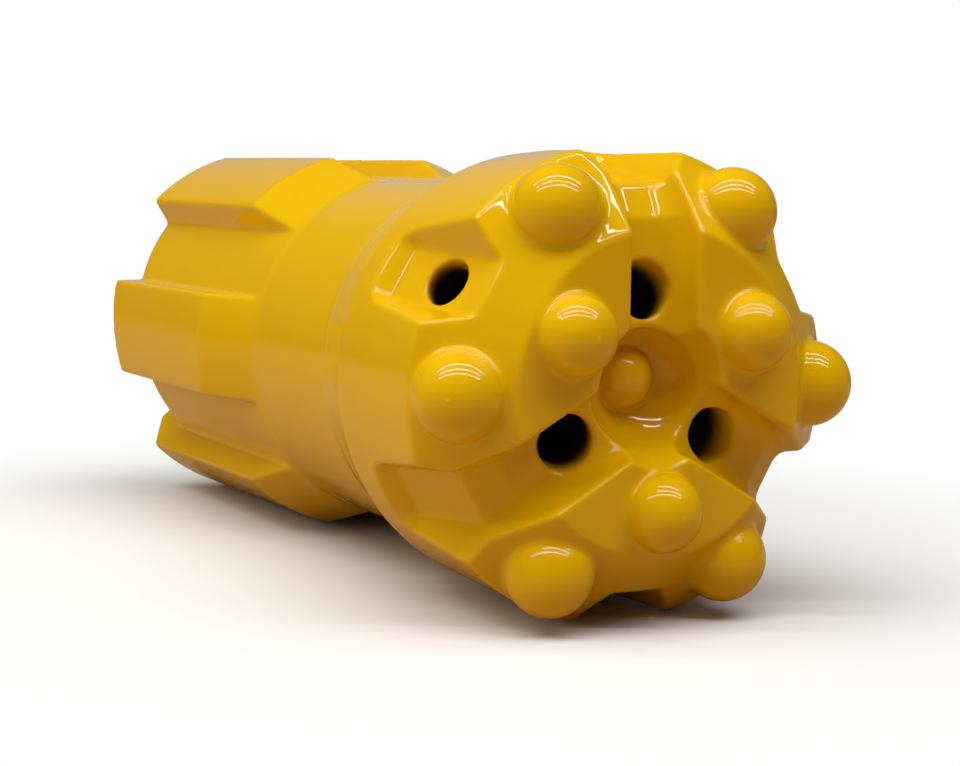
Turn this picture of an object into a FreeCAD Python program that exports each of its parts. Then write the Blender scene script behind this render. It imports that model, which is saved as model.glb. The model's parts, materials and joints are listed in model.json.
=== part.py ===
import FreeCAD, Part
import math
import os
import Sketcher

# Threaded button bit for rock drilling, lying as it comes to rest on its head and its skirt.
# Each piece is drawn about the X axis with the plane of the front face at X = 0: the face
# with its buttons looks along +X, the skirt with its back-cutting teeth and its threaded
# socket looks along -X. Its Placement then turns it round the axis and lifts it.
# Lengths are in millimetres, angles in degrees. An angle round the axis starts at +Y and
# turns towards +Z.

SIZES = {
    # turned outline: diameters, and distances behind the front face
    "body_length": 162.8,
    "head_diameter": 73.4,
    "head_rear_diameter": 71.2,
    "head_length": 38.0,
    "neck_start": 53.0,
    "neck_diameter": 63.0,
    "neck_end": 86.0,
    "skirt_start": 101.5,
    "skirt_front_diameter": 73.0,
    "skirt_diameter": 74.2,
    "foot_blend_radius": 14.0,
    # front face and the cone that carries the gauge buttons
    "face_diameter": 49.0,
    "gauge_tilt": 41.0,
    # flutes of the head: flat floors that rise towards the neck, then run out
    "flute_floor_width": 8.8,
    "flute_flank_angle": 40.0,
    "flute_front_height": 30.7,
    "flute_knee_height": 33.2,
    "vent_flute_length": 28.5,
    "groove_flute_length": 26.5,
    "flute_runout": 4.0,
    # flutes of the skirt: round floors level with the neck
    "skirt_floor_rise": 0.15,
    "skirt_floor_half_angle": 12.4,
    "skirt_flute_half_angle": 15.0,
    # three wide grooves across the face
    "groove_width": 11.6,
    "groove_depth": 4.5,
    "groove_slope": 6.0,
    "groove_corner_radius": 3.6,
    "groove_bevel_start": 25.6,
    "groove_bevel_slope": 32.0,
    # round recess in the middle of the face
    "recess_diameter": 22.2,
    "recess_wall_depth": 5.0,
    "bowl_top_diameter": 19.4,
    "bowl_radius": 9.5,
    "bowl_floor_diameter": 13.4,
    "bowl_depth": 12.6,
    # back-cutting teeth of the skirt
    "tooth_drop": 14.8,
    "tooth_wall_angle": 101.6,
    "tooth_root_radius": 4.0,
    "rear_chamfer_width": 4.9,
    "rear_chamfer_length": 4.1,
    # socket, measured in from the tips of the teeth
    "counterbore_diameter": 48.6,
    "counterbore_depth": 10.0,
    "mouth_chamfer": 1.2,
    "bore_start": 17.5,
    "bore_diameter": 40.0,
    "socket_depth": 105.0,
    "passage_diameter": 18.0,
    "passage_end": 36.0,
    # flushing holes: the face holes leave the grooves, the side holes leave the flutes
    "face_hole_diameter": 8.5,
    "face_hole_radius": 15.1,
    "face_hole_tilt": 18.0,
    "side_hole_diameter": 7.4,
    "side_hole_distance": 17.7,
    "side_hole_tilt": 50.0,
    # buttons: the radius at which each stands (for the gauge, its distance inside the rim of
    # the head), its shank below the surface, and how far its dome begins above the surface
    "gauge_button_diameter": 13.6,
    "gauge_button_inset": 5.7,
    "gauge_button_shank": 11.0,
    "gauge_button_rise": -0.4,
    "front_button_diameter": 12.0,
    "front_button_radius": 17.7,
    "front_button_shank": 9.5,
    "front_button_rise": 0.4,
    "centre_button_diameter": 10.0,
    "centre_button_offset": 1.4,
    "centre_button_shank": 8.0,
    "centre_button_rise": 0.2,
    "button_foot_chamfer": 0.8,
}

TEETH = 3
LOBES = 3
RIBS = 6
FULL_TURN = 360.0
GAUGE_ANGLES = [0.0, 60.0, 120.0, 180.0, 240.0, 300.0]
FRONT_ANGLES = [30.0, 150.0, 270.0]
CENTRE_ANGLE = 90.0

# how far a cutting shape reaches past the surface that it cuts, and the turn by which the
# ramp of a tooth starts early, in the air behind the tip
BEYOND = 6.0
EARLY_TURN = 10.0

# how near, in millimetres or degrees, an edge lies to the place where it is looked for, and
# how far a flushing hole reaches into the water passage
NEAR = 0.3
OVERRUN = 2.0

# derived sizes as expressions of the sheet
GAUGE_DEPTH = "(Sizes.head_diameter - Sizes.face_diameter) / 2 * tan(Sizes.gauge_tilt)"
FACE_X = "(Sizes.body_length - Sizes.front_button_diameter / 2 - Sizes.front_button_rise) / 2"
FLANK_REACH = (
    "(Sizes.flute_floor_width / 2 * cos(Sizes.flute_flank_angle)"
    " - Sizes.flute_front_height * sin(Sizes.flute_flank_angle))"
)
HEAD_TAPER = (
    "((Sizes.head_diameter - Sizes.head_rear_diameter) / 2 / (Sizes.head_length - %s))" % GAUGE_DEPTH
)
RUNOUT_SLOPE = "((Sizes.head_diameter / 2 - Sizes.flute_knee_height) / Sizes.flute_runout)"

# heights of the axis over the three places that can touch the ground: the corners of the head's
# ribs, the ring behind a vent flute, and the corners of the skirt's ribs
RIB_CORNER_HEIGHT = (
    "(cos(Sizes.flute_flank_angle) * sqrt((Sizes.head_diameter / 2)^2 - %s^2)"
    " - %s * sin(Sizes.flute_flank_angle))" % (FLANK_REACH, FLANK_REACH)
)
RING_HEIGHT = (
    "(Sizes.head_diameter / 2 - %s * (Sizes.head_diameter / 2 - Sizes.flute_knee_height"
    " + %s * (Sizes.vent_flute_length - %s)) / (%s + %s))"
    % (HEAD_TAPER, RUNOUT_SLOPE, GAUGE_DEPTH, HEAD_TAPER, RUNOUT_SLOPE)
)
SKIRT_CORNER_HEIGHT = "Sizes.skirt_diameter / 2 * cos(Sizes.skirt_flute_half_angle)"
AXIS_HEIGHT = "max(%s; %s; %s)" % (RIB_CORNER_HEIGHT, RING_HEIGHT, SKIRT_CORNER_HEIGHT)

doc = FreeCAD.newDocument("button_bit")


def make_sheet():
    """Spreadsheet that holds every driving size, one alias a row."""
    sheet = doc.addObject("Spreadsheet::Sheet", "Sizes")
    for row, (alias, value) in enumerate(SIZES.items(), start=1):
        sheet.set("A%d" % row, alias)
        sheet.set("B%d" % row, str(value))
        sheet.setAlias("B%d" % row, alias)
    doc.recompute()
    return sheet


def number(expression):
    """Value of an expression of the sheet, as a plain number."""
    value = sheet.evalExpression(expression)
    return float(getattr(value, "Value", value))


def minus(expression):
    return "-(%s)" % expression


def plus(first, second):
    return "(%s) + (%s)" % (first, second)


def origin_feature(body, role):
    """One of a body's own origin planes or axes."""
    for feature in body.Origin.OriginFeatures:
        if feature.Role == role:
            return feature
    raise ValueError("no origin feature " + role)


def new_sketch(body, name, role, distance="0", turn="0"):
    """Empty sketch on an origin plane, moved along its normal or turned about its first axis."""
    sketch = body.newObject("Sketcher::SketchObject", name)
    sketch.AttachmentSupport = [(origin_feature(body, role), "")]
    sketch.MapMode = "FlatFace"
    sketch.AttachmentOffset = FreeCAD.Placement(
        FreeCAD.Vector(0, 0, number(distance)),
        FreeCAD.Rotation(FreeCAD.Vector(1, 0, 0), number(turn)),
    )
    sketch.setExpression("AttachmentOffset.Base.z", distance)
    if turn != "0":
        sketch.setExpression("AttachmentOffset.Rotation.Angle", turn)
    return sketch


def bind_constraint(sketch, constraint, label, expression):
    """Add a constraint, name it and drive it from the sheet."""
    index = sketch.addConstraint(constraint)
    sketch.renameConstraint(index, label)
    sketch.setExpression("Constraints." + label, expression)


def pin_point(sketch, geometry, end, label, across, up):
    """Hold one end of a line or arc at a place given by two expressions."""
    place = (
        ("DistanceX", label + "_across", across),
        ("DistanceY", label + "_up", up),
    )
    for kind, name, expression in place:
        constraint = Sketcher.Constraint(kind, -1, 1, geometry, end, number(expression))
        bind_constraint(sketch, constraint, name, expression)


def add_arc(sketch, here, there, radius, turn):
    """Arc of less than half a circle; turn is +1 to the left and -1 to the right."""
    chord = there - here
    middle = (here + there) * 0.5
    left = FreeCAD.Vector(-chord.y, chord.x, 0).normalize()
    centre = middle + left * (turn * math.sqrt(radius ** 2 - (chord.Length / 2) ** 2))
    first, last = (here, there) if turn > 0 else (there, here)
    start_angle = math.atan2(first.y - centre.y, first.x - centre.x)
    end_angle = math.atan2(last.y - centre.y, last.x - centre.x)
    circle = Part.Circle(centre, FreeCAD.Vector(0, 0, 1), radius)
    sketch.addGeometry(Part.ArcOfCircle(circle, start_angle, end_angle), False)
    return (1, 2) if turn > 0 else (2, 1)


def draw_outline(sketch, corners):
    """Closed outline. A corner is (across, up), or (across, up, radius, turn) before an arc."""
    count = len(corners)
    points = [FreeCAD.Vector(number(corner[0]), number(corner[1]), 0) for corner in corners]
    ends = []
    for k, corner in enumerate(corners):
        here = points[k]
        there = points[(k + 1) % count]
        if len(corner) == 2:
            sketch.addGeometry(Part.LineSegment(here, there), False)
            ends.append((1, 2))
        else:
            ends.append(add_arc(sketch, here, there, number(corner[2]), corner[3]))
    for k in range(count):
        after = (k + 1) % count
        sketch.addConstraint(
            Sketcher.Constraint("Coincident", k, ends[k][1], after, ends[after][0])
        )
    for k, corner in enumerate(corners):
        pin_point(sketch, k, ends[k][0], "corner%d" % k, corner[0], corner[1])
        if len(corner) == 4:
            constraint = Sketcher.Constraint("Radius", k, number(corner[2]))
            bind_constraint(sketch, constraint, "radius%d" % k, corner[2])


def along(start, tilt, distance, offset):
    """Point of a tilted line through start, as a pair of expressions."""
    across = "(%s) + (%s) * cos(%s) - (%s) * sin(%s)" % (start[0], distance, tilt, offset, tilt)
    up = "(%s) + (%s) * sin(%s) + (%s) * cos(%s)" % (start[1], distance, tilt, offset, tilt)
    return (across, up)


def add_axis(sketch, start, tilt):
    """Construction line to turn a profile about."""
    places = [start, along(start, tilt, str(BEYOND), "0")]
    points = [FreeCAD.Vector(number(place[0]), number(place[1]), 0) for place in places]
    index = sketch.addGeometry(Part.LineSegment(points[0], points[1]), True)
    for end, place in enumerate(places, start=1):
        pin_point(sketch, index, end, "axis%d" % end, place[0], place[1])


def turn_profile(body, kind, name, sketch, axis="H_Axis"):
    """Full turn of a sketch, added or taken away."""
    feature = body.newObject("PartDesign::" + kind, name)
    feature.Profile = sketch
    feature.ReferenceAxis = (sketch, [axis])
    feature.Angle = FULL_TURN
    sketch.Visibility = False
    return feature


def repeat(body, name, feature, count):
    """Copies of a feature, evenly spaced round the bit's axis."""
    pattern = body.newObject("PartDesign::PolarPattern", name)
    pattern.Originals = [feature]
    pattern.Axis = (origin_feature(body, "X_Axis"), [""])
    pattern.Angle = FULL_TURN
    pattern.Occurrences = count
    body.Tip = pattern
    return pattern


def round_hole(body, name, role, start, tilt, radius, inward, outward):
    """Round hole along a tilted line, from inward below its start to outward above it."""
    sketch = new_sketch(body, name + "_profile", role)
    draw_outline(sketch, [
        along(start, tilt, minus(inward), "0"),
        along(start, tilt, outward, "0"),
        along(start, tilt, outward, radius),
        along(start, tilt, minus(inward), radius),
    ])
    add_axis(sketch, start, tilt)
    return turn_profile(body, "Groove", name, sketch, "Axis0")


def blend_points(corner, slope, towards):
    """Ends of the foot blend where a ramp meets the neck; towards is the ramp's side in X."""
    reach = "Sizes.foot_blend_radius * tan((%s) / 2)" % slope
    on_neck = ("(%s) - %d * %s" % (corner, towards, reach), "Sizes.neck_diameter / 2")
    on_ramp = (
        "(%s) + %d * %s * cos(%s)" % (corner, towards, reach, slope),
        "Sizes.neck_diameter / 2 + %s * sin(%s)" % (reach, slope),
    )
    return on_neck, on_ramp


def turn_blank(body):
    """Turned blank: face, gauge cone, tapered head, neck, skirt and rear chamfer."""
    head_ramp = (
        "atan((Sizes.head_rear_diameter - Sizes.neck_diameter) / 2"
        " / (Sizes.neck_start - Sizes.head_length))"
    )
    skirt_ramp = (
        "atan((Sizes.skirt_front_diameter - Sizes.neck_diameter) / 2"
        " / (Sizes.skirt_start - Sizes.neck_end))"
    )
    head_neck, head_foot = blend_points("-Sizes.neck_start", head_ramp, 1)
    skirt_neck, skirt_foot = blend_points("-Sizes.neck_end", skirt_ramp, -1)
    rear = "-Sizes.body_length - %s" % BEYOND
    rear_radius = (
        "Sizes.skirt_diameter / 2 - Sizes.rear_chamfer_width"
        " * (1 + %s / Sizes.rear_chamfer_length)" % BEYOND
    )
    sketch = new_sketch(body, "blank_outline", "XY_Plane")
    draw_outline(sketch, [
        ("0", "0"),
        ("0", "Sizes.face_diameter / 2"),
        (minus(GAUGE_DEPTH), "Sizes.head_diameter / 2"),
        ("-Sizes.head_length", "Sizes.head_rear_diameter / 2"),
        head_foot + ("Sizes.foot_blend_radius", -1),
        head_neck,
        skirt_neck + ("Sizes.foot_blend_radius", -1),
        skirt_foot,
        ("-Sizes.skirt_start", "Sizes.skirt_front_diameter / 2"),
        ("-Sizes.body_length + Sizes.rear_chamfer_length", "Sizes.skirt_diameter / 2"),
        (rear, rear_radius),
        (rear, "0"),
    ])
    turn_profile(body, "Revolution", "blank", sketch)


def cut_head_flutes(body, name, side, length):
    """Three flutes of the head; side is +1 for the top one and -1 for the bottom one."""
    outside = "Sizes.head_diameter / 2 + %s" % BEYOND
    stations = [
        (str(BEYOND), "Sizes.flute_front_height"),
        (minus(GAUGE_DEPTH), "Sizes.flute_front_height"),
        (minus(length), "Sizes.flute_knee_height"),
        (minus("%s + Sizes.flute_runout" % length), "Sizes.head_diameter / 2"),
    ]
    sections = []
    for k, (distance, height) in enumerate(stations):
        sketch = new_sketch(body, "%s_section%d" % (name, k), "YZ_Plane", distance)
        floor = "Sizes.flute_floor_width / 2"
        brim = "%s + (%s - (%s)) * tan(Sizes.flute_flank_angle)" % (floor, outside, height)
        draw_outline(sketch, [
            (minus(floor), "%d * (%s)" % (side, height)),
            (floor, "%d * (%s)" % (side, height)),
            (brim, "%d * (%s)" % (side, outside)),
            (minus(brim), "%d * (%s)" % (side, outside)),
        ])
        sketch.Visibility = False
        sections.append(sketch)
    loft = body.newObject("PartDesign::SubtractiveLoft", name)
    loft.Profile = sections[0]
    loft.Sections = sections[1:]
    loft.Ruled = True
    repeat(body, name + "_set", loft, LOBES)


def cut_skirt_flutes(body):
    """Six flutes of the skirt, their round floors level with the neck."""
    floor = "(Sizes.neck_diameter / 2 + Sizes.skirt_floor_rise)"
    inner = "Sizes.skirt_floor_half_angle"
    outer = "Sizes.skirt_flute_half_angle"
    floor_across = "%s * sin(%s)" % (floor, inner)
    floor_up = "%s * cos(%s)" % (floor, inner)
    brim_across = "Sizes.skirt_diameter * sin(%s) - %s" % (outer, floor_across)
    brim_up = "Sizes.skirt_diameter * cos(%s) - %s" % (outer, floor_up)
    start = "-Sizes.body_length - 2 * %s" % BEYOND
    sketch = new_sketch(body, "skirt_flute_section", "YZ_Plane", start)
    draw_outline(sketch, [
        (floor_across, floor_up, floor, 1),
        (minus(floor_across), floor_up),
        (minus(brim_across), brim_up),
        (brim_across, brim_up),
    ])
    sketch.Visibility = False
    pocket = body.newObject("PartDesign::Pocket", "skirt_flute")
    pocket.Profile = sketch
    pocket.Reversed = True
    pocket.setExpression("Length", "Sizes.body_length + 3 * %s - Sizes.neck_end" % BEYOND)
    repeat(body, "skirt_flute_set", pocket, RIBS)


def cut_face_grooves(body):
    """Three grooves that fall from the recess towards the flutes, each with a steeper end."""
    half = "Sizes.groove_width / 2"
    corner = "Sizes.groove_corner_radius"
    bevel_depth = "(Sizes.groove_depth + Sizes.groove_bevel_start * tan(Sizes.groove_slope))"
    stations = [
        ("0", "Sizes.groove_depth"),
        ("Sizes.groove_bevel_start", bevel_depth),
        (
            "Sizes.head_diameter / 2 + %s" % BEYOND,
            "%s + (Sizes.head_diameter / 2 + %s - Sizes.groove_bevel_start)"
            " * tan(Sizes.groove_bevel_slope)" % (bevel_depth, BEYOND),
        ),
    ]
    sections = []
    for k, (distance, depth) in enumerate(stations):
        sketch = new_sketch(body, "face_groove_section%d" % k, "XY_Plane", distance)
        draw_outline(sketch, [
            (minus(depth), minus("%s - %s" % (half, corner))),
            (minus(depth), "%s - %s" % (half, corner), corner, -1),
            ("%s - (%s)" % (corner, depth), half),
            (str(BEYOND), half),
            (str(BEYOND), minus(half)),
            ("%s - (%s)" % (corner, depth), minus(half), corner, -1),
        ])
        sketch.Visibility = False
        sections.append(sketch)
    loft = body.newObject("PartDesign::SubtractiveLoft", "face_groove")
    loft.Profile = sections[0]
    loft.Sections = sections[1:]
    loft.Ruled = True
    repeat(body, "face_groove_set", loft, LOBES)


def cut_recess(body):
    """Round recess of the face, with a bowl for the middle button."""
    sketch = new_sketch(body, "recess_profile", "XY_Plane")
    draw_outline(sketch, [
        (str(BEYOND), "0"),
        (str(BEYOND), "Sizes.recess_diameter / 2"),
        ("0", "Sizes.recess_diameter / 2"),
        ("-Sizes.recess_wall_depth", "Sizes.bowl_top_diameter / 2", "Sizes.bowl_radius", -1),
        ("-Sizes.bowl_depth", "Sizes.bowl_floor_diameter / 2"),
        ("-Sizes.bowl_depth", "0"),
    ])
    turn_profile(body, "Groove", "recess", sketch)


def cut_socket(body):
    """Socket: counterbore, lead-in cone, bore of the thread and water passage."""
    mouth = "-Sizes.body_length"
    sketch = new_sketch(body, "socket_profile", "XY_Plane")
    mouth_radius = "Sizes.counterbore_diameter / 2 + Sizes.mouth_chamfer"
    draw_outline(sketch, [
        ("%s - 2 * %s" % (mouth, BEYOND), "0"),
        ("%s - 2 * %s" % (mouth, BEYOND), mouth_radius),
        (mouth, mouth_radius),
        ("%s + Sizes.mouth_chamfer" % mouth, "Sizes.counterbore_diameter / 2"),
        ("%s + Sizes.counterbore_depth" % mouth, "Sizes.counterbore_diameter / 2"),
        ("%s + Sizes.bore_start" % mouth, "Sizes.bore_diameter / 2"),
        ("%s + Sizes.socket_depth" % mouth, "Sizes.bore_diameter / 2"),
        ("%s + Sizes.socket_depth" % mouth, "Sizes.passage_diameter / 2"),
        ("-Sizes.passage_end", "Sizes.passage_diameter / 2"),
        ("-Sizes.passage_end", "0"),
    ])
    turn_profile(body, "Groove", "socket", sketch)


def tooth_root_edges(shape):
    """Names of the edges where a ramp ends at the foot of a tooth's radial wall."""
    root_x = number("-Sizes.body_length + Sizes.tooth_drop")
    spacing = FULL_TURN / TEETH
    names = []
    for index, edge in enumerate(shape.Edges, start=1):
        middle = edge.valueAt((edge.FirstParameter + edge.LastParameter) / 2)
        angle = math.degrees(math.atan2(middle.z, middle.y)) - number("Sizes.tooth_wall_angle")
        off_wall = abs((angle + spacing / 2) % spacing - spacing / 2)
        if off_wall < NEAR and abs(middle.x - root_x) < NEAR and edge.Length > NEAR:
            names.append("Edge%d" % index)
    return names


def cut_teeth(body):
    """Three ramps behind the skirt; each ends at the radial wall of the next tooth."""
    early_drop = "Sizes.tooth_drop * %s * %d / %s" % (EARLY_TURN, TEETH, FULL_TURN)
    start_angle = "Sizes.tooth_wall_angle - %s" % EARLY_TURN
    sketch = new_sketch(body, "tooth_profile", "XY_Plane", "0", start_angle)
    front = "-Sizes.body_length - %s" % early_drop
    rear = "-Sizes.body_length - Sizes.tooth_drop - 2 * %s" % BEYOND
    inside = "Sizes.bore_diameter / 2 - %s" % BEYOND
    outside = "Sizes.skirt_diameter / 2 + %s" % BEYOND
    draw_outline(sketch, [
        (front, inside),
        (front, outside),
        (rear, outside),
        (rear, inside),
    ])
    sketch.Visibility = False
    helix = body.newObject("PartDesign::SubtractiveHelix", "tooth_ramp")
    helix.Profile = sketch
    helix.ReferenceAxis = (sketch, ["H_Axis"])
    helix.Mode = "pitch-height-angle"
    helix.setExpression("Pitch", "%d * Sizes.tooth_drop" % TEETH)
    helix.setExpression("Height", "Sizes.tooth_drop + %s" % early_drop)
    ramps = repeat(body, "tooth_ramp_set", helix, TEETH)
    doc.recompute()
    fillet = body.newObject("PartDesign::Fillet", "tooth_roots")
    fillet.Base = (ramps, tooth_root_edges(ramps.Shape))
    fillet.setExpression("Radius", "Sizes.tooth_root_radius")
    ramps.Visibility = False


def button_seat(kind):
    """Where a button stands on the surface (X and radius) and the tilt of its axis."""
    if kind == "gauge":
        stands = "(Sizes.head_diameter / 2 - Sizes.gauge_button_inset)"
        depth = "-(%s - Sizes.face_diameter / 2) * tan(Sizes.gauge_tilt)" % stands
        return (depth, stands), "Sizes.gauge_tilt"
    if kind == "front":
        return ("0", "Sizes.front_button_radius"), "0"
    return ("-Sizes.bowl_depth", "Sizes.centre_button_offset"), "0"


def drill_button_hole(body, kind):
    """Blind hole for the shank of one button."""
    seat, tilt = button_seat(kind)
    role = "XY_Plane"
    if kind != "gauge":
        role = "XZ_Plane"
    if kind == "front":
        seat = (seat[0], minus(seat[1]))
    return round_hole(
        body, kind + "_button_hole", role, seat, tilt,
        "Sizes.%s_button_diameter / 2" % kind, "Sizes.%s_button_shank" % kind, str(BEYOND),
    )


def drill_flushing_holes(body):
    """Three face holes from the grooves and three side holes from the flutes."""
    floor = "Sizes.groove_depth + Sizes.face_hole_radius * tan(Sizes.groove_slope)"
    run = "(Sizes.passage_end - (%s)) / cos(Sizes.face_hole_tilt) + %s" % (floor, OVERRUN)
    face_hole = round_hole(
        body, "face_hole", "XZ_Plane", (minus(floor), "Sizes.face_hole_radius"),
        "Sizes.face_hole_tilt", "Sizes.face_hole_diameter / 2", run, str(BEYOND),
    )
    repeat(body, "face_hole_set", face_hole, LOBES)
    side_start = ("-Sizes.side_hole_distance", "-Sizes.flute_front_height")
    run = "Sizes.flute_front_height / sin(Sizes.side_hole_tilt)"
    side_hole = round_hole(
        body, "side_hole", "XZ_Plane", side_start,
        "-Sizes.side_hole_tilt", "Sizes.side_hole_diameter / 2", run, "2 * %s" % BEYOND,
    )
    repeat(body, "side_hole_set", side_hole, LOBES)


def place(body, angle):
    """Lift a body to the height of the lying bit and turn it about the bit's axis."""
    body.Placement = FreeCAD.Placement(
        FreeCAD.Vector(number(FACE_X), 0, number(AXIS_HEIGHT)),
        FreeCAD.Rotation(FreeCAD.Vector(1, 0, 0), angle),
    )
    body.setExpression("Placement.Base.x", FACE_X)
    body.setExpression("Placement.Base.z", AXIS_HEIGHT)


def make_bit_body():
    body = doc.addObject("PartDesign::Body", "bit_body")
    turn_blank(body)
    cut_socket(body)
    cut_teeth(body)
    cut_recess(body)
    cut_head_flutes(body, "vent_flute", -1, "Sizes.vent_flute_length")
    cut_head_flutes(body, "groove_flute", 1, "Sizes.groove_flute_length")
    cut_skirt_flutes(body)
    cut_face_grooves(body)
    repeat(body, "gauge_button_holes", drill_button_hole(body, "gauge"), RIBS)
    repeat(body, "front_button_holes", drill_button_hole(body, "front"), LOBES)
    body.Tip = drill_button_hole(body, "centre")
    drill_flushing_holes(body)
    place(body, 0.0)
    return body


def make_button(label, kind, angle):
    """Pressed-in button: chamfered foot, cylindrical shank and ball-shaped dome."""
    body = doc.addObject("PartDesign::Body", label)
    seat, tilt = button_seat(kind)
    radius = "Sizes.%s_button_diameter / 2" % kind
    shank = "Sizes.%s_button_shank" % kind
    rise = "Sizes.%s_button_rise" % kind
    chamfer = "Sizes.button_foot_chamfer"
    sketch = new_sketch(body, label + "_profile", "XY_Plane")
    draw_outline(sketch, [
        along(seat, tilt, minus(shank), "0"),
        along(seat, tilt, plus(rise, radius), "0") + (radius, 1),
        along(seat, tilt, rise, radius),
        along(seat, tilt, "%s - %s" % (chamfer, shank), radius),
        along(seat, tilt, minus(shank), "%s - %s" % (radius, chamfer)),
    ])
    add_axis(sketch, seat, tilt)
    turn_profile(body, "Revolution", label + "_turned", sketch, "Axis0")
    place(body, angle)
    return body


def check_features():
    """Stop if any feature of the document failed or any solid is not sound."""
    for item in doc.Objects:
        if "Invalid" in item.State or "Error" in item.State:
            raise RuntimeError("feature failed: " + item.Name)
        shape = getattr(item, "Shape", None)
        if shape is not None and (shape.isNull() or not shape.isValid()):
            raise RuntimeError("unsound shape: " + item.Name)


sheet = make_sheet()
pieces = [make_bit_body()]
pieces += [
    make_button("gauge_button_%d" % n, "gauge", angle)
    for n, angle in enumerate(GAUGE_ANGLES, start=1)
]
pieces += [
    make_button("front_button_%d" % n, "front", angle)
    for n, angle in enumerate(FRONT_ANGLES, start=1)
]
pieces.append(make_button("centre_button", "centre", CENTRE_ANGLE))
doc.recompute()
check_features()

os.makedirs("parts", exist_ok=True)
for piece in pieces:
    piece.Shape.exportStep("parts/%s.step" % piece.Label)
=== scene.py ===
import json
import math

import bpy
import numpy as np
import openvdb
from mathutils import Matrix, Vector


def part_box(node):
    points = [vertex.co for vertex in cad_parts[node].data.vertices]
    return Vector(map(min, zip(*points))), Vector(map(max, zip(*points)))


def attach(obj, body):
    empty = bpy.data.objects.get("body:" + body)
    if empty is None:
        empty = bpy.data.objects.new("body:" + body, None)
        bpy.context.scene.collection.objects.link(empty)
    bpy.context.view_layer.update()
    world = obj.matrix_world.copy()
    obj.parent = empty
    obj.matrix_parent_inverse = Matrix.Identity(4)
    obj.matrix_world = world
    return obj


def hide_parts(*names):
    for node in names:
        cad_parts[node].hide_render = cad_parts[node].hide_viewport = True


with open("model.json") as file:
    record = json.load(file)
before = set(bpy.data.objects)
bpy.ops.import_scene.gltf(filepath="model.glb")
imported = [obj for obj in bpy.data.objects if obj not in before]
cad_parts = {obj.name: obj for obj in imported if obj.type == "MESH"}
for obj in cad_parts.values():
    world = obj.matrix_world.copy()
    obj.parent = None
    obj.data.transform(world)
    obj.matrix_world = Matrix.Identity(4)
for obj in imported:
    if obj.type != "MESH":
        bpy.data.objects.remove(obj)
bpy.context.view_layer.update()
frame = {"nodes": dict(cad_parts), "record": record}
nodes = frame["nodes"]

# Places in metres: the height of the bit's axis above the floor and the plane of its front face.
socket = next(m for m in frame["record"]["mounts"] if m["name"] == "rod_socket")
AXIS_HEIGHT = socket["pos_m"][2]
FRONT_RISE = 0.0064
FACE_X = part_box("front_button_1")[1].x - FRONT_RISE

# The rest of the sizes are in millimetres. A distance behind the front face is called depth.
BODY_LENGTH = 162.8
HEAD_RADIUS = 36.7
HEAD_REAR_RADIUS = 35.6
HEAD_LENGTH = 38.0
NECK_START = 53.0
NECK_RADIUS = 31.5
NECK_END = 86.0
SKIRT_START = 101.5
SKIRT_FRONT_RADIUS = 36.5
SKIRT_RADIUS = 37.1
FOOT_BLEND = 14.0
FACE_RADIUS = 24.5
GAUGE_TILT = math.radians(41.0)
FLUTE_HALF_FLOOR = 4.4
FLUTE_FLANK = math.radians(40.0)
FLUTE_FRONT = 30.7
FLUTE_KNEE = 33.2
FLUTE_RUNOUT = 4.0
VENT_LENGTH = 28.5
GROOVE_FLUTE_LENGTH = 26.5
SKIRT_FLOOR = 31.65
SKIRT_FLOOR_ANGLE = math.radians(12.4)
SKIRT_FLUTE_ANGLE = math.radians(15.0)
GROOVE_HALF = 5.8
GROOVE_DEPTH = 4.5
GROOVE_SLOPE = math.radians(6.0)
GROOVE_CORNER = 3.6
GROOVE_BEVEL_START = 25.6
GROOVE_BEVEL = math.radians(32.0)
RECESS_RADIUS = 11.1
RECESS_DEPTH = 5.0
DISH_RADIUS = 9.1
DISH_DEPTH = 12.5
BUTTON_SEAT_DEPTH = 12.6
TOOTH_DROP = 14.8
TOOTH_WALL = 101.6
TOOTH_ROOT = 4.0
CHAMFER_WIDTH = 4.9
CHAMFER_LENGTH = 4.1
COUNTERBORE_RADIUS = 24.3
COUNTERBORE_DEPTH = 10.0
MOUTH_CHAMFER = 1.2
BORE_START = 17.5
BORE_RADIUS = 20.0
SOCKET_DEPTH = 105.0
PASSAGE_RADIUS = 9.0
PASSAGE_END = 36.0
THREAD_ROOT = 22.7
THREAD_PITCH = 12.7
THREAD_CREST = 3.4
THREAD_FLANK = math.radians(38.0)
FACE_HOLE_RADIUS = 4.25
FACE_HOLE_SEAT = 15.1
FACE_HOLE_TILT = math.radians(18.0)
SIDE_HOLE_RADIUS = 3.7
SIDE_HOLE_SEAT = (17.7, 30.7)
SIDE_HOLE_TILT = math.radians(50.0)
TOOTH_SPACING = 120.0

# Buttons: how far out each kind stands, and the radius and rise of its dome.
GAUGE_SEAT = 31.0
GAUGE_DOME = (6.8, -0.4)
FRONT_SEAT = 17.7
FRONT_DOME = (6.0, 0.4)
CENTRE_SEAT = 1.4
CENTRE_DOME = (5.0, 0.2)

# Directions round the axis, in degrees from +Y towards +Z.
GAUGE_ANGLES = (0, 60, 120, 180, 240, 300)
FRONT_ANGLES = (30, 150, 270)
GROOVE_ANGLES = (90, 210, 330)
CENTRE_ANGLE = 90

# How far each kind of hole is cut outward and inward from its start.
FACE_HOLE_RUN = (6.0, 33.0)
SIDE_HOLE_RUN = (12.0, 40.0)

# Depth at which cutters that start before the face or end behind the teeth are laid out.
BEFORE_FACE = -9.0
BEHIND_ALL = 1e3

# How deep the paint reaches into the holes and the socket, from where it thins to where it ends,
# with how far along a hole and how far round its wall that counts. Past it the steel is near black,
# which is partly painted shade deep in the holes and the socket.
HOLE_PAINT = (0.4, 4.5)
SOCKET_PAINT = (11.0, 24.0)
HOLE_REACH = 32.0
PASSAGE_START = 18.0
WALL_MARGIN = 0.8
BORE_MARGIN = 0.6

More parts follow.
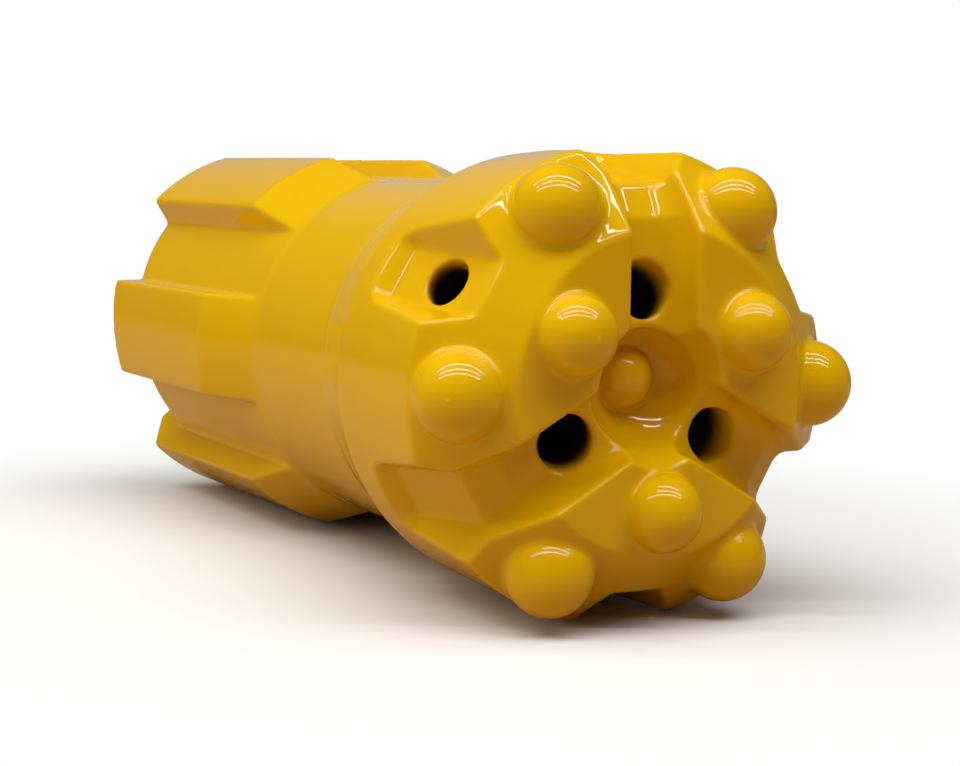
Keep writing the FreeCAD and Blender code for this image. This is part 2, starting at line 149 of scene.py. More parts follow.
# The paint's own measures: the grid that its skin is made on, how far it softens an edge, how far
# from the surface distances are kept, how far it runs up a dome and how much lower it lies there.
CELL = 0.5
SIDE_REACH = 39.6
SOFTEN = 0.4
NEAR_BAND = 3.0
MENISCUS = 0.9
UNDER_DOME = 0.05

# Moving the skin onto its surface: the mildest slope that counts, the longest step in cells and
# the most triangles that the skin may have.
MILD = 0.2
FARTHEST = 0.4
MOST_TRIANGLES = 190000

# The studio: the photographed viewing angle in degrees, and three strip lights by their height in
# degrees over the photographer's side, in metres and watts.
CAMERA_AZIMUTH = 62.1618
CAMERA_ELEVATION = 5.7272
STRIP_HEIGHTS = (87, 72, 60)
STRIP_DISTANCE = 1.0
STRIP_LENGTH = 1.9
STRIP_WIDTH = 0.035
STRIP_POWER = 5.3
LIT_PLACE = (0.02, 0, 0.03)

# The room: how light it is on its right and left and in reflections. It brightens to the left,
# and the white backdrop comes into reflections, between two cosines; the backdrop's second one is
# past -1, so that reflections show it at part strength. The floor turns from shaded to white
# between two distances from the middle.
WHITE = (1, 1, 1, 1)
ROOM_COLOUR = (1.0, 1.0, 0.9, 1)
ROOM_RIGHT = 0.03
ROOM_LEFT = 0.95
ROOM_MIRRORED = 0.05
TURN_TO_LEFT = (0.15, -1.0)
TURN_TO_BACKDROP = (-0.75, -1.35)
FLOOR_SIZE = 6.0
FLOOR_COLOUR = (0.86, 0.86, 0.86, 1)
FLOOR_ROUGHNESS = 0.6
FLOOR_BOUNCE = (0.48, 0.34, 0.2, 1)
FLOOR_FADE = (0.085, 0.16)

# Looks: the paint where it is thin and where it runs together, its gloss, the faint clouds and
# orange peel in it, and the dark, dull steel that it doesn't reach, which is near black as painted
# shade deep in the holes and the socket as well.
THIN_PAINT = (0.77, 0.44, 0.002, 1)
DEEP_PAINT = (0.73, 0.405, 0.001, 1)
GLOSS = 0.05
PAINT_IOR = 1.36
CLOUD_SCALE = 38.0
PEEL_SCALE = 260.0
PEEL_STRENGTH = 0.04
PEEL_HEIGHT = 0.0004
# Near-black steel deep in holes and the socket: bare steel and painted shade together.
DARK_STEEL_AND_SHADE = (0.012, 0.008, 0.006, 1)
STEEL_ROUGHNESS = 0.7

# The camera, solved from the bit's outline in the photograph: its place in units of UNIT metres,
# from a point on the axis that lies FACE_OFFSET units behind the face, its roll in degrees and
# its lens in millimetres, which ZOOM lengthens.
UNIT = 0.07415
CAMERA_DISTANCE = 3.7596
CAMERA_SLIDE = -0.339
CAMERA_LIFT = 0.0154
FACE_OFFSET = 0.055
CAMERA_ROLL = 0.9842
SENSOR_WIDTH = 36.0
PHOTO_LENS = 45.34
ZOOM = 1.55


# Distances to the surface, negative inside
def outside_of_polygon(corners, depth, radius):
    """Signed distance to a closed outline of (depth, radius) corners, negative inside it."""
    depth, radius = np.broadcast_arrays(depth, radius)
    nearest = np.full(depth.shape, 1e9)
    inside = np.zeros(depth.shape, dtype=bool)
    for k, (x0, y0) in enumerate(corners):
        x1, y1 = corners[(k + 1) % len(corners)]
        run, rise = x1 - x0, y1 - y0
        share = ((depth - x0) * run + (radius - y0) * rise) / (run * run + rise * rise)
        share = np.clip(share, 0.0, 1.0)
        nearest = np.minimum(nearest, np.hypot(depth - x0 - share * run, radius - y0 - share * rise))
        if rise != 0.0:
            spans = (y0 > radius) != (y1 > radius)
            inside ^= spans & (depth < x0 + run * (radius - y0) / rise)
    return np.where(inside, -nearest, nearest)


def blend_arc(corner, slope, towards):
    """Points of the round foot where a ramp meets the neck."""
    reach = FOOT_BLEND * math.tan(slope / 2)
    centre = (corner + towards * reach, NECK_RADIUS + FOOT_BLEND)
    return [
        (centre[0] - towards * FOOT_BLEND * math.sin(turn), centre[1] - FOOT_BLEND * math.cos(turn))
        for turn in np.linspace(0.0, slope, 7)
    ]


def cone_depth(radius):
    """Depth of the gauge cone at a distance from the axis."""
    return (radius - FACE_RADIUS) * math.tan(GAUGE_TILT)


def blank_outline():
    """Turned outline of the whole bit."""
    head_slope = math.atan((HEAD_REAR_RADIUS - NECK_RADIUS) / (NECK_START - HEAD_LENGTH))
    skirt_slope = math.atan((SKIRT_FRONT_RADIUS - NECK_RADIUS) / (SKIRT_START - NECK_END))
    beyond = 6.0
    corners = [
        (0.0, 0.0),
        (0.0, FACE_RADIUS),
        (cone_depth(HEAD_RADIUS), HEAD_RADIUS),
        (HEAD_LENGTH, HEAD_REAR_RADIUS),
    ]
    corners += reversed(blend_arc(NECK_START, head_slope, 1))
    corners += blend_arc(NECK_END, skirt_slope, -1)
    corners += [
        (SKIRT_START, SKIRT_FRONT_RADIUS),
        (BODY_LENGTH - CHAMFER_LENGTH, SKIRT_RADIUS),
        (BODY_LENGTH + beyond, SKIRT_RADIUS - CHAMFER_WIDTH * (1 + beyond / CHAMFER_LENGTH)),
        (BODY_LENGTH + beyond, 0.0),
    ]
    return corners


def recess_outline():
    """Round recess of the face, down to the corner where its dish begins."""
    beyond = -10.0
    return [
        (beyond, 0.0),
        (beyond, RECESS_RADIUS),
        (0.0, RECESS_RADIUS),
        (RECESS_DEPTH, DISH_RADIUS),
        (RECESS_DEPTH, 0.0),
    ]


def socket_outline():
    """Counterbore, lead-in cone, bore of the thread and water passage."""
    beyond = BODY_LENGTH + 12.0
    mouth_radius = COUNTERBORE_RADIUS + MOUTH_CHAMFER
    return [
        (beyond, 0.0),
        (beyond, mouth_radius),
        (BODY_LENGTH, mouth_radius),
        (BODY_LENGTH - MOUTH_CHAMFER, COUNTERBORE_RADIUS),
        (BODY_LENGTH - COUNTERBORE_DEPTH, COUNTERBORE_RADIUS),
        (BODY_LENGTH - BORE_START, BORE_RADIUS),
        (BODY_LENGTH - SOCKET_DEPTH, BORE_RADIUS),
        (BODY_LENGTH - SOCKET_DEPTH, PASSAGE_RADIUS),
        (PASSAGE_END, PASSAGE_RADIUS),
        (PASSAGE_END, 0.0),
    ]


def turned(y, z, angle):
    """Coordinates outward and sideways along a direction round the axis."""
    turn = math.radians(angle)
    outward = y * math.cos(turn) + z * math.sin(turn)
    sideways = z * math.cos(turn) - y * math.sin(turn)
    return outward, sideways


class Block:
    """Grid of distances to the surface, one value a cell, in the bit's own millimetres."""

    def __init__(self):
        self.depth = np.arange(BEFORE_FACE, BODY_LENGTH + 3.0, CELL)
        self.across = np.arange(-SIDE_REACH, SIDE_REACH + CELL / 2, CELL)
        self.y = self.across[None, :, None]
        self.z = self.across[None, None, :]
        self.radius = np.hypot(self.y, self.z)
        self.angle = np.degrees(np.arctan2(self.z, self.y))
        self.field = self.revolved(blank_outline())

    def revolved(self, corners):
        """Distance to an outline that is turned about the axis."""
        step = 0.25
        radii = np.arange(0.0, 58.0, step)
        table = outside_of_polygon(corners, self.depth[:, None], radii[None, :])
        place = self.radius / step
        low = place.astype(int)
        share = place - low
        return (table[:, low[0]] * (1 - share) + table[:, low[0] + 1] * share).astype(np.float32)

    def rows(self, first, last):
        """Part of the grid between two depths, with the depths of its cells."""
        span = slice(*np.searchsorted(self.depth, (first, last)))
        return span, self.depth[span][:, None, None]

    def turned_frame(self, angle):
        """Coordinates of the cells outward and sideways along a direction round the axis."""
        return turned(self.y, self.z, angle)

    def cut(self, span, distance):
        """Take away what lies inside a cutter, given the distances to it."""
        self.field[span] = np.maximum(self.field[span], -distance)


def cut_head_flutes(block, length, angles):
    """Flutes with a flat floor that rises towards the neck and runs out."""
    slope = (HEAD_RADIUS - FLUTE_KNEE) / FLUTE_RUNOUT
    runout = 3 * FLUTE_RUNOUT
    span, depth = block.rows(BEFORE_FACE, length + runout)
    height = np.interp(
        depth,
        (cone_depth(HEAD_RADIUS), length, length + runout),
        (FLUTE_FRONT, FLUTE_KNEE, FLUTE_KNEE + runout * slope),
    )
    for angle in angles:
        outward, sideways = block.turned_frame(angle)
        flank = np.abs(sideways) - FLUTE_HALF_FLOOR - (outward - height) * math.tan(FLUTE_FLANK)
        block.cut(span, np.maximum(height - outward, flank * math.cos(FLUTE_FLANK)))


def cut_dish(block):
    """Round dish from the recess down to the foot of the middle button, off the axis with it."""
    span, depth = block.rows(BEFORE_FACE, DISH_DEPTH + 3.0)
    share = np.maximum((depth - RECESS_DEPTH) / (DISH_DEPTH - RECESS_DEPTH), 0.0)
    outward, sideways = block.turned_frame(CENTRE_ANGLE)
    across = np.hypot(outward - CENTRE_SEAT * share, sideways) / DISH_RADIUS
    size = np.maximum(np.hypot(across, share), 1e-3)
    slope = np.hypot(across / DISH_RADIUS, share / (DISH_DEPTH - RECESS_DEPTH)) / size
    block.cut(span, (size - 1) / np.maximum(slope, 1e-3))


def cut_skirt_flutes(block, angles):
    """Flutes of the skirt, their round floors level with the neck."""
    foot = np.array((math.sin(SKIRT_FLOOR_ANGLE), math.cos(SKIRT_FLOOR_ANGLE))) * SKIRT_FLOOR
    brim = np.array((math.sin(SKIRT_FLUTE_ANGLE), math.cos(SKIRT_FLUTE_ANGLE))) * SKIRT_RADIUS
    along = (brim - foot) / np.linalg.norm(brim - foot)
    span, depth = block.rows(NECK_END - 6.0, BEHIND_ALL)
    for angle in angles:
        outward, sideways = block.turned_frame(angle)
        flank = (np.abs(sideways) - foot[0]) * along[1] - (outward - foot[1]) * along[0]
        block.cut(span, np.maximum(SKIRT_FLOOR - block.radius, flank))


def cut_face_grooves(block, angles):
    """Wide grooves that fall from the recess towards the flutes, each with a steeper end."""
    span, depth = block.rows(BEFORE_FACE, 24.0)
    for angle in angles:
        outward, sideways = block.turned_frame(angle)
        past = np.maximum(outward - GROOVE_BEVEL_START, 0.0)
        before = np.minimum(outward, GROOVE_BEVEL_START)
        floor = GROOVE_DEPTH + before * math.tan(GROOVE_SLOPE) + past * math.tan(GROOVE_BEVEL)
        lean = np.where(past > 0.0, math.cos(GROOVE_BEVEL), math.cos(GROOVE_SLOPE))
        side = np.abs(sideways) - GROOVE_HALF + GROOVE_CORNER
        under = (depth - floor) * lean + GROOVE_CORNER
        rounded = np.hypot(np.maximum(side, 0.0), np.maximum(under, 0.0))
        rounded += np.minimum(np.maximum(side, under), 0.0) - GROOVE_CORNER
        block.cut(span, np.maximum(rounded, -outward))


def cut_teeth(block):
    """Ramps behind the skirt, each ending at the radial wall of the next tooth."""
    span, depth = block.rows(BODY_LENGTH - 26.0, BEHIND_ALL)
    pitch = TOOTH_DROP * 360.0 / TOOTH_SPACING
    slope = np.arctan(pitch / (2 * math.pi * np.maximum(block.radius, 8.0)))
    for k in range(3):
        turn = (block.angle - TOOTH_WALL - k * TOOTH_SPACING + 60.0) % 360.0 - 60.0
        ramp = (BODY_LENGTH - TOOTH_DROP * turn / TOOTH_SPACING - depth) * np.cos(slope)
        short = np.radians(np.clip(turn - TOOTH_SPACING, -90.0, 90.0))
        wall = block.radius * np.sin(short)
        inner = np.minimum(np.maximum(ramp, wall) + TOOTH_ROOT, 0.0)
        corner = np.hypot(np.maximum(ramp + TOOTH_ROOT, 0.0), np.maximum(wall + TOOTH_ROOT, 0.0))
        block.cut(span, inner + corner - TOOTH_ROOT)


def cut_thread(block):
    """Left-hand thread in the bore."""
    first, last = BODY_LENGTH - SOCKET_DEPTH + 12.0, BODY_LENGTH - COUNTERBORE_DEPTH
    span, depth = block.rows(first - 4.0, last + 4.0)
    phase = (depth - THREAD_PITCH * block.angle / 360.0) % THREAD_PITCH - THREAD_PITCH / 2
    flank = (np.abs(phase) - (THREAD_PITCH - THREAD_CREST) / 2) * math.cos(THREAD_FLANK)
    flank = flank + (block.radius - BORE_RADIUS) * math.sin(THREAD_FLANK)
    groove = np.maximum(np.maximum(block.radius - THREAD_ROOT, flank), first - depth)
    block.cut(span, groove)


def hole_kinds():
    """Each kind of flushing hole: directions, start (depth, radius), tilt, hole radius and run."""
    floor = GROOVE_DEPTH + FACE_HOLE_SEAT * math.tan(GROOVE_SLOPE)
    return (
        (GROOVE_ANGLES, (floor, FACE_HOLE_SEAT), FACE_HOLE_TILT, FACE_HOLE_RADIUS, FACE_HOLE_RUN),
        (FRONT_ANGLES, SIDE_HOLE_SEAT, SIDE_HOLE_TILT, SIDE_HOLE_RADIUS, SIDE_HOLE_RUN),
    )


def along_hole(depth, outward, start, tilt):
    """Distances inward along a tilted hole and off its axis in the plane of its tilt."""
    away = outward - start[1]
    inward = (depth - start[0]) * math.cos(tilt) - away * math.sin(tilt)
    off = (depth - start[0]) * math.sin(tilt) + away * math.cos(tilt)
    return inward, off


def drill_holes(block):
    """Round flushing holes, tilted towards the axis."""
    span, depth = block.rows(BEFORE_FACE, 80.0)
    for angles, start, tilt, radius, (outside, inside) in hole_kinds():
        for angle in angles:
            outward, sideways = block.turned_frame(angle)
            inward, off = along_hole(depth, outward, start, tilt)
            round_wall = np.hypot(off, sideways) - radius
            ends = np.maximum(-outside - inward, inward - inside)
            block.cut(span, np.maximum(round_wall, ends))


def add_foot(block, angles, seat, tilt, radius, rise):
    """Solid of a button under its paint, with paint run up round the foot of its dome."""
    span, depth = block.rows(BEFORE_FACE, 40.0)
    for angle in angles:
        outward, sideways = block.turned_frame(angle)
        along = (outward - seat[1]) * math.sin(tilt) - (depth - seat[0]) * math.cos(tilt)
        off = (depth - seat[0]) * math.sin(tilt) + (outward - seat[1]) * math.cos(tilt)
        lateral = np.hypot(off, sideways)
        dome = np.hypot(np.maximum(along - rise, 0.0), lateral) - radius + UNDER_DOME
        dome = np.maximum(dome, -radius - along)
        steel = block.field[span]
        share = np.maximum(MENISCUS - np.abs(steel - dome), 0.0) / MENISCUS
        block.field[span] = np.minimum(steel, dome) - share * share * MENISCUS / 4


def shaded_bare_share(points):
    """Share of near-black bare steel, partly painted shade: 0 painted, 1 deep in a hole or the socket.
    """
    depth = (FACE_X - points[:, 0]) * 1000
    y = points[:, 1] * 1000
    z = (points[:, 2] - AXIS_HEIGHT) * 1000
    inner = (np.hypot(y, z) < THREAD_ROOT + BORE_MARGIN) & (depth > PASSAGE_START)
    share = np.where(inner, fade(BODY_LENGTH - depth, *SOCKET_PAINT), 0.0)
    for angles, start, tilt, radius, _ in hole_kinds():
        for angle in angles:
            outward, sideways = turned(y, z, angle)
            inward, off = along_hole(depth, outward, start, tilt)
            within = (np.hypot(off, sideways) < radius + WALL_MARGIN) & (inward < HOLE_REACH)
            share = np.maximum(share, np.where(within, fade(inward, *HOLE_PAINT), 0.0))
    return share


def fade(value, start, end):
    """Smooth step from 0 to 1 between two values."""
    share = np.clip((value - start) / (end - start), 0.0, 1.0)
    return share * share * (3 - 2 * share)


def soften(field):
    """Gaussian blur, which rounds each edge as thick paint does."""
    sigma = SOFTEN / CELL
    reach = 3
    taps = np.exp(-0.5 * (np.arange(-reach, reach + 1) / sigma) ** 2)
    taps = (taps / taps.sum()).astype(np.float32)
    for axis in range(3):
        padding = [(reach, reach) if k == axis else (0, 0) for k in range(3)]
        padded = np.pad(field, padding, mode="edge")
        total = np.zeros_like(field)
        for k, tap in enumerate(taps):
            window = [slice(None)] * 3
            window[axis] = slice(k, k + field.shape[axis])
            total += tap * padded[tuple(window)]
        field = total
    return field


def sample(field, points):
    """Value of the grid at points given in cells, by straight blending."""
    low = np.clip(np.floor(points).astype(int), 0, np.array(field.shape) - 2)
    share = points - low
    total = np.zeros(len(points))
    for corner in range(8):
        step = np.array((corner >> 2 & 1, corner >> 1 & 1, corner & 1))
        weight = np.prod(np.where(step == 1, share, 1 - share), axis=1)
        i, j, k = (low + step).T
        total += weight * field[i, j, k]
    return total


def slope_at(field, points):
    """Gradient of the grid at points, in its own units a cell."""
    half = 0.5
    rows = []
    for axis in range(3):
        step = np.zeros(3)
        step[axis] = half
        rows.append(sample(field, points + step) - sample(field, points - step))
    return np.stack(rows, axis=1)


def settle(field, points):
    """Move points onto the surface and give the direction that each faces."""
    for _ in range(2):
        slope = slope_at(field, points)
        steep = np.maximum((slope * slope).sum(axis=1, keepdims=True), MILD * MILD)
        step = slope * (sample(field, points)[:, None] / steep)
        points = points - np.clip(step, -FARTHEST, FARTHEST)
    slope = slope_at(field, points)
    return points, slope / np.maximum(np.linalg.norm(slope, axis=1, keepdims=True), 1e-9)


def to_metres(block, points):
    """From cells of the grid to the bit's place over the floor."""
    depth = block.depth[0] + points[:, 0] * CELL
    side = block.across[0] + points[:, 1] * CELL
    up = block.across[0] + points[:, 2] * CELL
    return np.stack((FACE_X - depth / 1000, side / 1000, AXIS_HEIGHT + up / 1000), axis=1)


def mesh_from(name, points, faces):
    """Mesh from arrays of points and of faces with as many corners each."""
    mesh = bpy.data.meshes.new(name)
    corners = faces.shape[1]
    mesh.vertices.add(len(points))
    mesh.vertices.foreach_set("co", points.astype(np.float32).ravel())
    mesh.loops.add(faces.size)
    mesh.loops.foreach_set("vertex_index", faces.astype(np.int32).ravel())
    mesh.polygons.add(len(faces))
    mesh.polygons.foreach_set("loop_start", np.arange(0, faces.size, corners, dtype=np.int32))
    mesh.update(calc_edges=True)
    mesh.validate()
    return mesh


def thin_out(mesh, most):
    """Fewer triangles where the surface is flat."""
    rough = bpy.data.objects.new("rough", mesh)
    bpy.context.scene.collection.objects.link(rough)
    thin = rough.modifiers.new("thin", "DECIMATE")
    triangles = sum(len(face.vertices) - 2 for face in mesh.polygons)
    thin.ratio = min(1.0, most / triangles)
    shape = rough.evaluated_get(bpy.context.evaluated_depsgraph_get())
    result = bpy.data.meshes.new_from_object(shape)
    bpy.data.objects.remove(rough)
    return result


def body_block():
    """Distances to the whole bit, from its turned blank to its painted feet."""
    block = Block()
    block.field = np.maximum(block.field, -block.revolved(recess_outline()))
    block.field = np.maximum(block.field, -block.revolved(socket_outline()))
    cut_dish(block)
    cut_thread(block)
    cut_teeth(block)
    cut_head_flutes(block, VENT_LENGTH, FRONT_ANGLES)
    cut_head_flutes(block, GROOVE_FLUTE_LENGTH, GROOVE_ANGLES)
    cut_skirt_flutes(block, FRONT_ANGLES + GROOVE_ANGLES)
    cut_face_grooves(block, GROOVE_ANGLES)
    add_foot(block, GAUGE_ANGLES, (cone_depth(GAUGE_SEAT), GAUGE_SEAT), GAUGE_TILT, *GAUGE_DOME)
    add_foot(block, FRONT_ANGLES, (0.0, FRONT_SEAT), 0.0, *FRONT_DOME)
    add_foot(block, (CENTRE_ANGLE,), (BUTTON_SEAT_DEPTH, CENTRE_SEAT), 0.0, *CENTRE_DOME)
    drill_holes(block)
    block.field = soften(np.clip(block.field, -NEAR_BAND, NEAR_BAND))
    return block


def painted_body():
    """Skin of paint over the steel body."""
    block = body_block()
    grid = openvdb.FloatGrid(NEAR_BAND)
    grid.copyFromArray(np.ascontiguousarray(block.field))
    points, faces = grid.convertToQuads(isovalue=0.0)
    mesh = thin_out(mesh_from("rough skin", points, faces), MOST_TRIANGLES)
    cells = np.empty(len(mesh.vertices) * 3, dtype=np.float32)
    mesh.vertices.foreach_get("co", cells)
    cells, facing = settle(block.field, cells.reshape(-1, 3).astype(float))
    places = to_metres(block, cells)
    mesh.vertices.foreach_set("co", places.astype(np.float32).ravel())
    # How far each point lies in near-black steel, which is bare steel and painted shade.
    shaded_bare = mesh.attributes.new("shaded_bare", "FLOAT", "POINT")
    shaded_bare.data.foreach_set("value", shaded_bare_share(places).astype(np.float32))
    mesh.update()
    normals = facing * (-1.0, 1.0, 1.0)
    first = mesh.polygons[0]
    if first.normal.dot(Vector(normals[first.vertices[0]])) < 0:
        mesh.flip_normals()
    mesh.shade_smooth()
    mesh.normals_split_custom_set_from_vertices(normals.tolist())
    mesh.name = "painted_body"
    body = bpy.data.objects.new("painted_body", mesh)
    bpy.context.scene.collection.objects.link(body)
    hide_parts("bit_body")
    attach(body, "root")
    return body


def new_material(name):
    """Material with its node tree and its main shader."""
    mat = bpy.data.materials.new(name)
    mat.use_nodes = True
    tree = mat.node_tree
    return mat, tree, tree.nodes["Principled BSDF"]


def enamel(name, holes=False):
    """Glossy yellow enamel, deeper in faint clouds, that may end in holes in dark steel and painted
    shade.
    """
    mat, tree, shader = new_material(name)
    links = tree.links
    coord = tree.nodes.new("ShaderNodeTexCoord")
    cloud = tree.nodes.new("ShaderNodeTexNoise")
    cloud.inputs["Scale"].default_value = CLOUD_SCALE
    cloud.inputs["Detail"].default_value = 3.0
    links.new(coord.outputs["Object"], cloud.inputs["Vector"])
    mix = tree.nodes.new("ShaderNodeMix")
    mix.data_type = "RGBA"
    mix.inputs["A"].default_value = THIN_PAINT
    mix.inputs["B"].default_value = DEEP_PAINT
    links.new(cloud.outputs["Fac"], mix.inputs["Factor"])
    paint = mix.outputs["Result"]
    if holes:
        # Deep in the holes and the socket the colour turns near black, as bare steel and painted
        # shade.
        shaded_bare = tree.nodes.new("ShaderNodeAttribute")
        shaded_bare.attribute_name = "shaded_bare"
        steel = tree.nodes.new("ShaderNodeMix")
        steel.data_type = "RGBA"
        steel.inputs["B"].default_value = DARK_STEEL_AND_SHADE
        links.new(shaded_bare.outputs["Fac"], steel.inputs["Factor"])
        links.new(paint, steel.inputs["A"])
        paint = steel.outputs["Result"]
        dull = tree.nodes.new("ShaderNodeMapRange")
        dull.inputs["To Min"].default_value = GLOSS
        dull.inputs["To Max"].default_value = STEEL_ROUGHNESS
        links.new(shaded_bare.outputs["Fac"], dull.inputs["Value"])
        links.new(dull.outputs["Result"], shader.inputs["Roughness"])
    links.new(paint, shader.inputs["Base Color"])
    shader.inputs["Roughness"].default_value = GLOSS
    shader.inputs["IOR"].default_value = PAINT_IOR
    peel = tree.nodes.new("ShaderNodeTexNoise")
    peel.inputs["Scale"].default_value = PEEL_SCALE
    peel.inputs["Detail"].default_value = 2.0
    links.new(coord.outputs["Object"], peel.inputs["Vector"])
    bump = tree.nodes.new("ShaderNodeBump")
    bump.inputs["Strength"].default_value = PEEL_STRENGTH
    bump.inputs["Distance"].default_value = PEEL_HEIGHT
    links.new(peel.outputs["Fac"], bump.inputs["Height"])
    links.new(bump.outputs["Normal"], shader.inputs["Normal"])
    return mat


def standing(right, up, back, place):
    """Matrix of a lamp or camera from its directions and its place."""
    return Matrix((
        (right.x, up.x, back.x, place.x),
        (right.y, up.y, back.y, place.y),
        (right.z, up.z, back.z, place.z),
        (0, 0, 0, 1),
    ))


def add_lamp(name, place, target, along):
    """Strip light that looks at a target, its long side turned along a direction."""
    light = bpy.data.lights.new(name, "AREA")
    light.shape = "RECTANGLE"
    light.size = STRIP_LENGTH
    light.size_y = STRIP_WIDTH
    light.energy = STRIP_POWER
    lamp = bpy.data.objects.new(name, light)
    bpy.context.scene.collection.objects.link(lamp)
    back = (place - target).normalized()
    side = (along - back * along.dot(back)).normalized()
    up = back.cross(side)
    lamp.matrix_world = standing(side, up, back, place)


def overhead_strips():
    """Three long strip lights over the bit, from straight above to the photographer's side."""
    right, back = camera_right_and_back()
    level = Vector((back.x, back.y, 0)).normalized()
    target = Vector(LIT_PLACE)
    for k, height in enumerate(STRIP_HEIGHTS):
        turn = math.radians(height)
        place = target + (level * math.cos(turn) + Vector((0, 0, 1)) * math.sin(turn)) * STRIP_DISTANCE
        add_lamp("strip %d" % (k + 1), place, target, right)


def background(tree, colour, strength):
    """Background shader of one colour and strength."""
    shader = tree.nodes.new("ShaderNodeBackground")
    shader.inputs["Color"].default_value = colour
    shader.inputs["Strength"].default_value = strength
    return shader


def towards(tree, coord, direction):
    """Cosine of the angle between where a ray goes and a fixed direction."""
    cosine = tree.nodes.new("ShaderNodeVectorMath")
    cosine.operation = "DOT_PRODUCT"
    cosine.inputs[1].default_value = direction
    tree.links.new(coord.outputs["Generated"], cosine.inputs[0])
    return cosine.outputs["Value"]


def ramp(tree, value, start, end, smooth=False):
    """Map range node that goes from 0 to 1 between two values."""
    node = tree.nodes.new("ShaderNodeMapRange")
    if smooth:
        node.interpolation_type = "SMOOTHSTEP"
    node.inputs["From Min"].default_value = start
    node.inputs["From Max"].default_value = end
    tree.links.new(value, node.inputs["Value"])
    return node


def combine(tree, operation, first, second):
    """Product or maximum of two values."""
    node = tree.nodes.new("ShaderNodeMath")
    node.operation = operation
    tree.links.new(first, node.inputs[0])
    tree.links.new(second, node.inputs[1])
    return node.outputs["Value"]


def blend(tree, share, first, second):
    """Shader that turns from the first to the second with a share."""
    node = tree.nodes.new("ShaderNodeMixShader")
    tree.links.new(share, node.inputs[0])
    tree.links.new(first, node.inputs[1])
    tree.links.new(second, node.inputs[2])
    return node.outputs[0]


def seen_or_mirrored(tree):
    """Light path node, and 1 for rays from the camera and for mirrored and refracted ones."""
    path = tree.nodes.new("ShaderNodeLightPath")
    total = path.outputs["Is Camera Ray"]
    for name in ("Is Glossy Ray", "Is Transmission Ray"):
        total = combine(tree, "MAXIMUM", total, path.outputs[name])
    return path, total


def white_room():
    """White background, mirrored only from behind the bit, in a room that is lighter on its left."""
    world = bpy.data.worlds.new("studio")
    bpy.context.scene.world = world
    world.use_nodes = True
    tree = world.node_tree
    tree.nodes.clear()
    room = background(tree, ROOM_COLOUR, ROOM_RIGHT)
    mirrored = background(tree, WHITE, ROOM_MIRRORED)
    white = background(tree, WHITE, 1.0)
    coord = tree.nodes.new("ShaderNodeTexCoord")
    right, back = camera_right_and_back()
    lighter = ramp(tree, towards(tree, coord, right), *TURN_TO_LEFT, smooth=True)
    lighter.inputs["To Min"].default_value = ROOM_RIGHT
    lighter.inputs["To Max"].default_value = ROOM_LEFT
    tree.links.new(lighter.outputs["Result"], room.inputs["Strength"])
    behind = ramp(tree, towards(tree, coord, back), *TURN_TO_BACKDROP)
    path, seen = seen_or_mirrored(tree)
    backdrop = combine(tree, "MULTIPLY", seen, behind.outputs["Result"])
    share = combine(tree, "MAXIMUM", backdrop, path.outputs["Is Camera Ray"])
    dim = blend(tree, seen, room.outputs[0], mirrored.outputs[0])
    out = tree.nodes.new("ShaderNodeOutputWorld")
    tree.links.new(blend(tree, share, dim, white.outputs[0]), out.inputs[0])


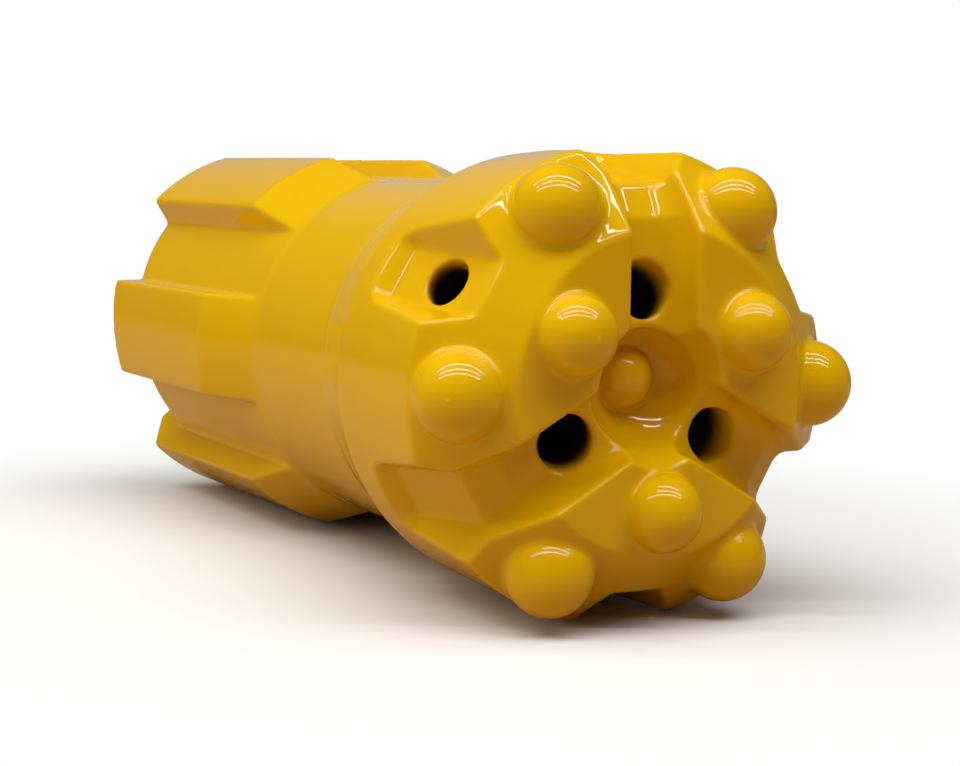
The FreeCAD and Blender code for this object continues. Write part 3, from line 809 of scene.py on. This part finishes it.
def pale_floor():
    """Pale floor that keeps the bit's shadow and fades to white; only the camera sees it so pale."""
    bpy.ops.mesh.primitive_plane_add(size=FLOOR_SIZE, location=(0, 0, 0))
    floor = bpy.context.object
    floor.name = "floor"
    mat, tree, shader = new_material("floor")
    shader.inputs["Base Color"].default_value = FLOOR_COLOUR
    shader.inputs["Roughness"].default_value = FLOOR_ROUGHNESS
    bounce = tree.nodes.new("ShaderNodeBsdfDiffuse")
    bounce.inputs["Color"].default_value = FLOOR_BOUNCE
    glow = tree.nodes.new("ShaderNodeEmission")
    glow.inputs["Color"].default_value = WHITE
    glow.inputs["Strength"].default_value = 1.0
    coord = tree.nodes.new("ShaderNodeTexCoord")
    length = tree.nodes.new("ShaderNodeVectorMath")
    length.operation = "LENGTH"
    tree.links.new(coord.outputs["Object"], length.inputs[0])
    far = ramp(tree, length.outputs["Value"], *FLOOR_FADE, smooth=True)
    path = tree.nodes.new("ShaderNodeLightPath")
    camera_ray = path.outputs["Is Camera Ray"]
    near = blend(tree, camera_ray, bounce.outputs[0], shader.outputs[0])
    share = combine(tree, "MULTIPLY", far.outputs["Result"], camera_ray)
    surface = tree.nodes["Material Output"].inputs["Surface"]
    tree.links.new(blend(tree, share, near, glow.outputs[0]), surface)
    floor.data.materials.append(mat)


def camera_right_and_back():
    """Directions to the camera's right and from the bit to the camera, before any roll."""
    azimuth, elevation = math.radians(CAMERA_AZIMUTH), math.radians(CAMERA_ELEVATION)
    right = Vector((math.cos(azimuth), math.sin(azimuth), 0))
    back = Vector((
        math.sin(azimuth) * math.cos(elevation),
        -math.cos(azimuth) * math.cos(elevation),
        math.sin(elevation),
    ))
    return right, back


def camera_like_the_photo():
    """Camera at the photograph's viewing angle."""
    roll = math.radians(CAMERA_ROLL)
    level, back = camera_right_and_back()
    upright = back.cross(level)
    right = level * math.cos(roll) + upright * math.sin(roll)
    up = -level * math.sin(roll) + upright * math.cos(roll)
    place = right * CAMERA_SLIDE + up * CAMERA_LIFT + back * CAMERA_DISTANCE
    place = (place - Vector((FACE_OFFSET, 0, 0))) * UNIT
    place += Vector((FACE_X, 0, AXIS_HEIGHT))
    lens = bpy.data.cameras.new("camera")
    lens.sensor_width = SENSOR_WIDTH
    lens.lens = PHOTO_LENS * ZOOM
    lens.clip_start = 0.01
    camera = bpy.data.objects.new("camera", lens)
    bpy.context.scene.collection.objects.link(camera)
    camera.matrix_world = standing(right, up, back, place)
    bpy.context.scene.camera = camera


body = painted_body()
paint = enamel("yellow enamel", holes=True)
dome_paint = enamel("yellow enamel on domes")
body.data.materials.append(paint)
for name, node in nodes.items():
    node.data.materials.clear()
    node.data.materials.append(paint if name == "bit_body" else dome_paint)

white_room()
pale_floor()
overhead_strips()
camera_like_the_photo()
bpy.context.scene.view_settings.view_transform = "Standard"
